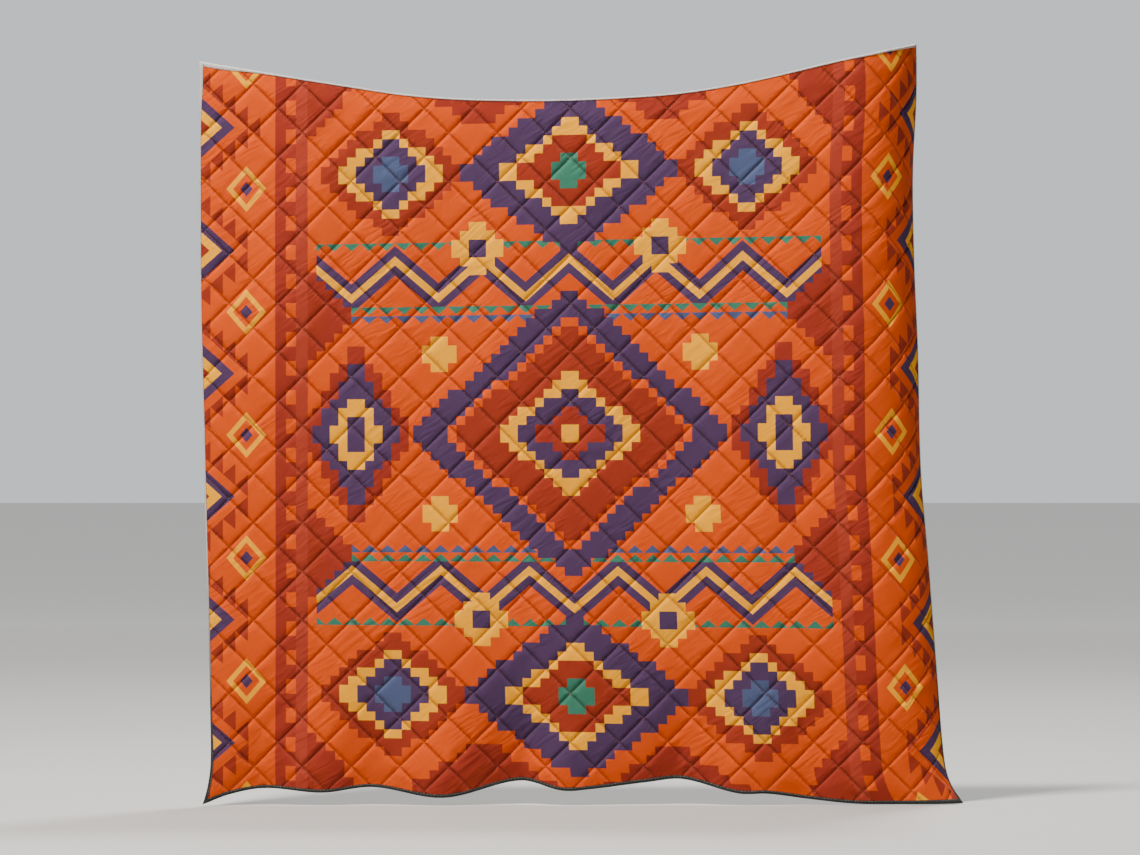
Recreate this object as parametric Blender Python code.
"""Quilted bedspread, hung by its two top corners and seen face on.

One quilted panel (printed top, filling and backing stitched through in a diamond lattice) and the
four binding strips sewn along its edges. Metres, +Z up. +X runs to the right and the printed face
looks along -Y. The origin is the middle of the top edge, where the sag of the hung cloth is lowest.
"""
import math
from collections import namedtuple

import bmesh
import bpy
from mathutils import Vector

# Quilting lattice
SEAM_PITCH = 0.120          # from one crossing of two seams to the next, across or up
RISING_SEAM_SHIFT = 0.026   # place of the seams that rise to the right, as x - z
FALLING_SEAM_SHIFT = 0.096  # place of the seams that fall to the right, as x + z
SEAMS_EACH_WAY = 24         # more than enough to cover the cloth on both sides of the origin
CELL_RIM = 0.020            # from a seam to the shoulder of its puffed cell

# Thickness of the quilted layers
SEAM_THICKNESS = 0.0024     # pressed flat under the stitches
FRONT_PUFF = 0.0052         # rise of the printed face at the middle of a cell
BACK_PUFF = 0.0026          # rise of the backing there
SHOULDER_SHARE = 0.72       # share of the rise that is reached at a cell's shoulder
WHOLE_CELL_SHARE = 0.99     # a cell with less than this share of its area is cut by the rim
PART_CELL_SHARE = 0.25      # a cut cell with more than this share is puffed too
PRESSED_BORDER = 0.030      # the filling thins out over this width along the binding

# Binding
BINDING_WIDTH = 0.011
BINDING_THICKNESS = 0.0046
BINDING_FLAT_SHARE = 0.72   # share of the width that is flat before the fold rounds over
BINDING_NOSE_SHARE = 0.35   # share of the thickness that is left at the fold
GAP = 0.0003                # between neighbouring pieces
MARGIN = BINDING_WIDTH + GAP


class Table:
    """Rows of numbers under named columns, read along the first column on a smooth curve."""

    def __init__(self, columns, rows):
        self.columns = columns
        self.rows = sorted(rows)

    def read(self, name, at):
        """Value of a named column at a place between the rows."""
        rows, column = self.rows, self.columns.index(name)
        at = min(max(at, rows[0][0]), rows[-1][0])
        index = 0
        while index < len(rows) - 2 and at > rows[index + 1][0]:
            index += 1
        start, end = rows[index], rows[index + 1]
        span = end[0] - start[0]
        t = (at - start[0]) / span
        start_share = 2 * t**3 - 3 * t**2 + 1
        start_slope_share = (t**3 - 2 * t**2 + t) * span
        end_slope_share = (t**3 - t**2) * span
        return (
            start_share * start[column]
            + (1 - start_share) * end[column]
            + start_slope_share * self.slope(index, column)
            + end_slope_share * self.slope(index + 1, column)
        )

    def slope(self, index, column):
        """Slope of a column at a row, from the rows on both sides of it."""
        low = self.rows[max(index - 1, 0)]
        high = self.rows[min(index + 1, len(self.rows) - 1)]
        return (high[column] - low[column]) / (high[0] - low[0])


# Outline of the hung cloth as it is seen, binding included. At the hem, y is how far the cloth
# swings away. At the right, radius and turn are those of the border that rolls back.
TOP_EDGE = Table(("across", "z"), (
    (-0.914, 0.092),
    (-0.732, 0.062),
    (-0.530, 0.030),
    (-0.414, 0.013),
    (-0.296, 0.003),
    (-0.172, -0.001),
    (-0.025, -0.001),
    (0.121, 0.005),
    (0.276, 0.017),
    (0.441, 0.044),
    (0.655, 0.094),
    (0.739, 0.112),
    (0.815, 0.128),
    (0.915, 0.143),
    (0.960, 0.147),
))
HEM = Table(("across", "z", "y"), (
    (-0.930, -1.742, -0.040),
    (-0.902, -1.735, -0.034),
    (-0.838, -1.712, -0.008),
    (-0.752, -1.698, 0.016),
    (-0.611, -1.708, -0.014),
    (-0.486, -1.696, 0.015),
    (-0.310, -1.720, -0.030),
    (-0.123, -1.681, 0.030),
    (-0.020, -1.703, -0.022),
    (0.049, -1.700, -0.016),
    (0.190, -1.684, 0.010),
    (0.278, -1.677, 0.024),
    (0.414, -1.710, -0.018),
    (0.488, -1.711, -0.014),
    (0.584, -1.724, 0.006),
    (0.700, -1.735, -0.012),
    (0.825, -1.737, 0.004),
    (1.060, -1.737, -0.020),
))
LEFT_EDGE = Table(("z", "x"), (
    (0.110, -0.912),
    (-0.249, -0.912),
    (-0.520, -0.910),
    (-0.840, -0.902),
    (-1.087, -0.896),
    (-1.333, -0.889),
    (-1.506, -0.885),
    (-1.629, -0.883),
    (-1.690, -0.890),
    (-1.745, -0.905),
))
RIGHT_EDGE = Table(("z", "x", "radius", "turn"), (
    (0.170, 0.858, 0.200, 68.0),
    (0.022, 0.859, 0.200, 70.0),
    (-0.175, 0.850, 0.200, 70.0),
    (-0.397, 0.853, 0.200, 69.0),
    (-0.618, 0.862, 0.200, 67.0),
    (-0.914, 0.869, 0.195, 66.0),
    (-1.136, 0.887, 0.185, 65.0),
    (-1.407, 0.907, 0.185, 61.0),
    (-1.629, 0.925, 0.185, 57.0),
    (-1.690, 0.941, 0.185, 54.0),
    (-1.745, 0.976, 0.185, 50.0),
))

# Broad soft billows of the hung cloth: middle, half sizes, lean of the long side, and depth
Billow = namedtuple("Billow", "x z half_width half_length lean depth")
BILLOWS = (
    Billow(-0.66, -0.36, 0.16, 0.60, 0.22, -0.010),
    Billow(-0.34, -0.72, 0.18, 0.66, 0.10, 0.011),
    Billow(-0.02, -0.46, 0.20, 0.50, -0.04, -0.008),
    Billow(0.26, -0.86, 0.18, 0.70, -0.12, 0.012),
    Billow(0.56, -0.40, 0.17, 0.62, -0.30, -0.012),
    Billow(0.66, -1.22, 0.15, 0.45, 0.06, -0.010),
    Billow(-0.66, -1.24, 0.17, 0.42, -0.05, 0.009),
    Billow(0.02, -1.34, 0.20, 0.34, 0.00, -0.008),
)
HEM_REACH = 0.34            # the waves of the hem die out over this height
CORNER_PULL = 0.020         # the held corners stand this far in front of the sagging middle

# Stations along the outline, and the extra cuts that let the rolled border bend
TOP_STEP = 0.070
HEM_STEP = 0.034
SIDE_STEP = 0.048
ROLL_CUT_FIRST = 0.690
ROLL_CUT_STEP = 0.034
ROLL_CUTS = 8
SHORTEST_EDGE = 0.005
MERGE_DISTANCE = 0.00001
CUT_DISTANCE = 0.0000001
SLOPE_STEP = 0.002          # stride over which the slope of the hung cloth is measured

COLLECTION_NAME = "quilted_bedspread"
FRONT, BACK, RIM = 1, 2, 3


def bump(distance):
    """A soft hump: 1 at its middle, 0 from a distance of 1."""
    return math.cos(0.5 * math.pi * min(abs(distance), 1.0)) ** 2


# The cloth is laid out in flat coordinates: across, which runs to the right along the cloth, and
# up. Only the rolled right border is longer in them than it looks from the front.


def roll_at(up):
    """Where the right border starts to turn back, its radius, and its edge in the flat cloth."""
    edge = RIGHT_EDGE.read("x", up)
    radius = RIGHT_EDGE.read("radius", up)
    turn = math.radians(RIGHT_EDGE.read("turn", up))
    start = edge - radius * math.sin(turn)
    return start, radius, start + radius * turn


def top_of(across):
    """Height of the cloth's top edge."""
    return TOP_EDGE.read("z", across)


def hem_of(across):
    """Height of the hem."""
    return HEM.read("z", across)


def left_of(up):
    """The cloth's left edge."""
    return LEFT_EDGE.read("x", up)


def right_of(up):
    """The cloth's right edge, measured along the rolled cloth."""
    return roll_at(up)[2]


def hang(across, up):
    """Place of the middle layer of the hung cloth for a point of the flat cloth."""
    start, radius, edge = roll_at(up)
    x, depth = across, 0.0
    if across > start:
        angle = (across - start) / radius
        x = start + radius * math.sin(angle)
        depth = radius * (1 - math.cos(angle))
    middle = 0.5 * (left_of(up) + edge)
    half = 0.5 * (edge - left_of(up))
    depth -= CORNER_PULL * ((x - middle) / half) ** 2
    hem_share = bump((up - hem_of(across)) / HEM_REACH) if up > hem_of(across) else 1.0
    depth += hem_share * HEM.read("y", across)
    for billow in BILLOWS:
        rise = up - billow.z
        along = rise / billow.half_length
        aside = (across - billow.x - billow.lean * rise) / billow.half_width
        depth += billow.depth * bump(along) * bump(aside) * (1 - hem_share)
    return Vector((x, depth, up))


def facing(across, up):
    """Direction in which the printed face looks at a point."""
    to_right = hang(across + SLOPE_STEP, up) - hang(across - SLOPE_STEP, up)
    to_top = hang(across, up + SLOPE_STEP) - hang(across, up - SLOPE_STEP)
    return to_right.cross(to_top).normalized()


def fullness(across, up):
    """How puffed the filling is: 0 on a seam or under the binding, 1 mid-cell."""
    rising = (across - up - RISING_SEAM_SHIFT) / SEAM_PITCH
    falling = (across + up - FALLING_SEAM_SHIFT) / SEAM_PITCH
    seam_distance = min(abs(v - round(v)) for v in (rising, falling)) * SEAM_PITCH / math.sqrt(2)
    cell_half = 0.5 * SEAM_PITCH / math.sqrt(2)
    if seam_distance < CELL_RIM:
        share = SHOULDER_SHARE * seam_distance / CELL_RIM
    else:
        beyond = (seam_distance - CELL_RIM) / (cell_half - CELL_RIM)
        share = SHOULDER_SHARE + (1 - SHOULDER_SHARE) * beyond
    to_edge = min(
        across - left_of(up),
        right_of(up) - across,
        top_of(across) - up,
        up - hem_of(across),
    )
    return share * min(max((to_edge - MARGIN) / PRESSED_BORDER, 0.0), 1.0)


def stations(start, end, length):
    """Evenly spaced places from start up to, but without, end."""
    count = max(1, round(abs(end - start) / length))
    return [start + (end - start) * i / count for i in range(count)]


def corner(vertical_edge, level_edge, side, rise):
    """Where the panel's own edges meet, inside the binding."""
    across, up = 0.0, level_edge(0.0)
    for _ in range(12):
        across = vertical_edge(up) + side * MARGIN
        up = level_edge(across) + rise * MARGIN
    return across, up


def outline():
    """The panel's outline in flat coordinates, clockwise from the top left corner."""
    top_left = corner(left_of, top_of, 1, -1)
    top_right = corner(right_of, top_of, -1, -1)
    low_right = corner(right_of, hem_of, -1, 1)
    low_left = corner(left_of, hem_of, 1, 1)
    points = [(x, top_of(x) - MARGIN) for x in stations(top_left[0], top_right[0], TOP_STEP)]
    points += [(right_of(z) - MARGIN, z) for z in stations(top_right[1], low_right[1], SIDE_STEP)]
    points += [(x, hem_of(x) + MARGIN) for x in stations(low_right[0], low_left[0], HEM_STEP)]
    points += [(left_of(z) + MARGIN, z) for z in stations(low_left[1], top_left[1], SIDE_STEP)]
    return points, (top_left, top_right, low_right, low_left)


def cut(bm, point, normal):
    """Cut every face along one straight line."""
    geometry = bm.verts[:] + bm.edges[:] + bm.faces[:]
    bmesh.ops.bisect_plane(bm, geom=geometry, dist=CUT_DISTANCE, plane_co=point, plane_no=normal)


def flat_sheet():
    """The panel's flat face, cut along every seam."""
    points, corners = outline()
    bm = bmesh.new()
    bm.faces.new([bm.verts.new((x, z, 0.0)) for x, z in points])
    for i in range(-SEAMS_EACH_WAY, SEAMS_EACH_WAY + 1):
        cut(bm, (RISING_SEAM_SHIFT + i * SEAM_PITCH, 0.0, 0.0), (1.0, -1.0, 0.0))
        cut(bm, (FALLING_SEAM_SHIFT + i * SEAM_PITCH, 0.0, 0.0), (1.0, 1.0, 0.0))
    kept = [min(bm.verts, key=lambda v, c=c: (v.co.xy - Vector(c)).length) for c in corners]
    rim = [v for v in bm.verts if v.is_boundary and v not in kept]
    bmesh.ops.remove_doubles(bm, verts=rim, dist=SHORTEST_EDGE)
    bmesh.ops.dissolve_degenerate(bm, edges=bm.edges[:], dist=MERGE_DISTANCE)
    return bm, corners


def cut_for_roll(bm):
    """Cut upright lines through the right border, where the cloth bends."""
    for i in range(ROLL_CUTS):
        cut(bm, (ROLL_CUT_FIRST + i * ROLL_CUT_STEP, 0.0, 0.0), (1.0, 0.0, 0.0))


def rim_of(sheet):
    """The panel's rim points in order round it."""
    bm = sheet.copy()
    cut_for_roll(bm)
    start = next(v for v in bm.verts if v.is_boundary)
    loop, before, here = [start], None, start
    while True:
        onward = [e.other_vert(here) for e in here.link_edges if e.is_boundary]
        after = onward[0] if onward[0] is not before else onward[1]
        if after is start:
            break
        loop.append(after)
        before, here = here, after
    places = [v.co.xy.copy() for v in loop]
    bm.free()
    return places


def side_of(rim, start, end):
    """The stretch of the rim from one corner to the next, the shorter way round."""
    first, last = (
        min(range(len(rim)), key=lambda i, c=corner_at: (rim[i] - Vector(c)).length)
        for corner_at in (start, end)
    )
    count = len(rim)
    onward = [rim[(first + i) % count] for i in range((last - first) % count + 1)]
    back = [rim[(first - i) % count] for i in range((first - last) % count + 1)]
    return min(onward, back, key=len)


def add_object(name, bm, material, collection):
    """Store a finished mesh as a named object."""
    mesh = bpy.data.meshes.new(name)
    bmesh.ops.triangulate(bm, faces=bm.faces[:])
    bm.to_mesh(mesh)
    bm.free()
    mesh.materials.append(material)
    item = bpy.data.objects.new(name, mesh)
    collection.objects.link(item)
    return item


def puff_cells(bm, faces, with_shoulder):
    """Give each whole diamond a middle point, and on the printed face a shoulder too."""
    whole = 0.5 * SEAM_PITCH**2
    cells = [f for f in faces if len(f.verts) == 4 and f.calc_area() > WHOLE_CELL_SHARE * whole]
    parts = [f for f in faces if f not in cells and f.calc_area() > PART_CELL_SHARE * whole]
    if with_shoulder:
        bmesh.ops.inset_individual(bm, faces=cells, thickness=CELL_RIM, use_even_offset=True)
    bmesh.ops.poke(bm, faces=cells + parts)


def quilted_panel(bm, material, collection):
    """Front and back of the panel with the cells puffed between the seams."""
    for face in bm.faces:
        face.material_index = BACK
    extruded = bmesh.ops.extrude_face_region(bm, geom=bm.faces[:], use_keep_orig=True)["geom"]
    for face in extruded:
        if isinstance(face, bmesh.types.BMFace):
            face.material_index = FRONT
    front_verts = [v for v in extruded if isinstance(v, bmesh.types.BMVert)]
    bmesh.ops.translate(bm, verts=front_verts, vec=(0.0, 0.0, SEAM_THICKNESS))
    bm.faces.ensure_lookup_table()
    for face in bm.faces:
        if len({round(v.co.z, 6) for v in face.verts}) > 1:
            face.material_index = RIM
    puff_cells(bm, [f for f in bm.faces if f.material_index == FRONT], True)
    puff_cells(bm, [f for f in bm.faces if f.material_index == BACK], False)
    cut_for_roll(bm)
    bmesh.ops.triangulate(bm, faces=bm.faces[:])
    for vert in bm.verts:
        across, up, layer = vert.co
        full = fullness(across, up)
        if layer > 0.5 * SEAM_THICKNESS:
            offset = 0.5 * SEAM_THICKNESS + FRONT_PUFF * full
        else:
            offset = -0.5 * SEAM_THICKNESS - BACK_PUFF * full
        vert.co = hang(across, up) + offset * facing(across, up)
    for face in bm.faces:
        face.material_index = 0
    bmesh.ops.recalc_face_normals(bm, faces=bm.faces[:])
    return add_object("quilted_panel", bm, material, collection)


def binding_section():
    """The strip's section: distance out from the panel's rim, and share of half its thickness."""
    flat = GAP + BINDING_FLAT_SHARE * BINDING_WIDTH
    nose = BINDING_NOSE_SHARE
    return ((GAP, 1.0), (flat, 1.0), (MARGIN, nose), (MARGIN, -nose), (flat, -1.0), (GAP, -1.0))


def binding_strip(name, places, out, material, collection):
    """Loft one strip along the panel's rim. out is the flat direction away from the panel."""
    bm = bmesh.new()
    rings = []
    for place in places:
        ring = []
        for distance, share in binding_section():
            flat = place + distance * Vector(out)
            offset = 0.5 * BINDING_THICKNESS * share
            ring.append(bm.verts.new(hang(*flat) + offset * facing(*flat)))
        rings.append(ring)
    for ring, following in zip(rings, rings[1:]):
        for i, vert in enumerate(ring):
            j = (i + 1) % len(ring)
            bm.faces.new((vert, ring[j], following[j], following[i]))
    bm.faces.new(rings[0])
    bm.faces.new(rings[-1])
    bmesh.ops.recalc_face_normals(bm, faces=bm.faces[:])
    return add_object(name, bm, material, collection)


def cloth_material(name, colour, roughness):
    """A plain cloth finish."""
    material = bpy.data.materials.new(name)
    material.use_nodes = True
    shader = material.node_tree.nodes["Principled BSDF"]
    shader.inputs["Base Color"].default_value = (*colour, 1.0)
    shader.inputs["Roughness"].default_value = roughness
    shader.inputs["Metallic"].default_value = 0.0
    return material


def clear_scene():
    """Remove what the new file holds."""
    for item in list(bpy.data.objects):
        bpy.data.objects.remove(item)


def main():
    """Build the panel and its four binding strips."""
    clear_scene()
    collection = bpy.data.collections.new(COLLECTION_NAME)
    bpy.context.scene.collection.children.link(collection)
    print_cloth = cloth_material("printed_cloth", (0.64, 0.12, 0.018), 0.85)
    binding_cloth = cloth_material("binding_cloth", (0.33, 0.30, 0.29), 0.8)

    sheet, corners = flat_sheet()
    rim = rim_of(sheet)
    quilted_panel(sheet, print_cloth, collection)

    top_left, top_right, low_right, low_left = corners
    beyond = Vector((MARGIN, 0.0))
    strips = (
        ("binding_top", top_left, top_right, (0.0, 1.0)),
        ("binding_bottom", low_left, low_right, (0.0, -1.0)),
        ("binding_left", top_left, low_left, (-1.0, 0.0)),
        ("binding_right", top_right, low_right, (1.0, 0.0)),
    )
    for name, start, finish, out in strips:
        places = side_of(rim, start, finish)
        if out[0] == 0.0:
            places = [places[0] - beyond] + places + [places[-1] + beyond]
        binding_strip(name, places, out, binding_cloth, collection)


main()
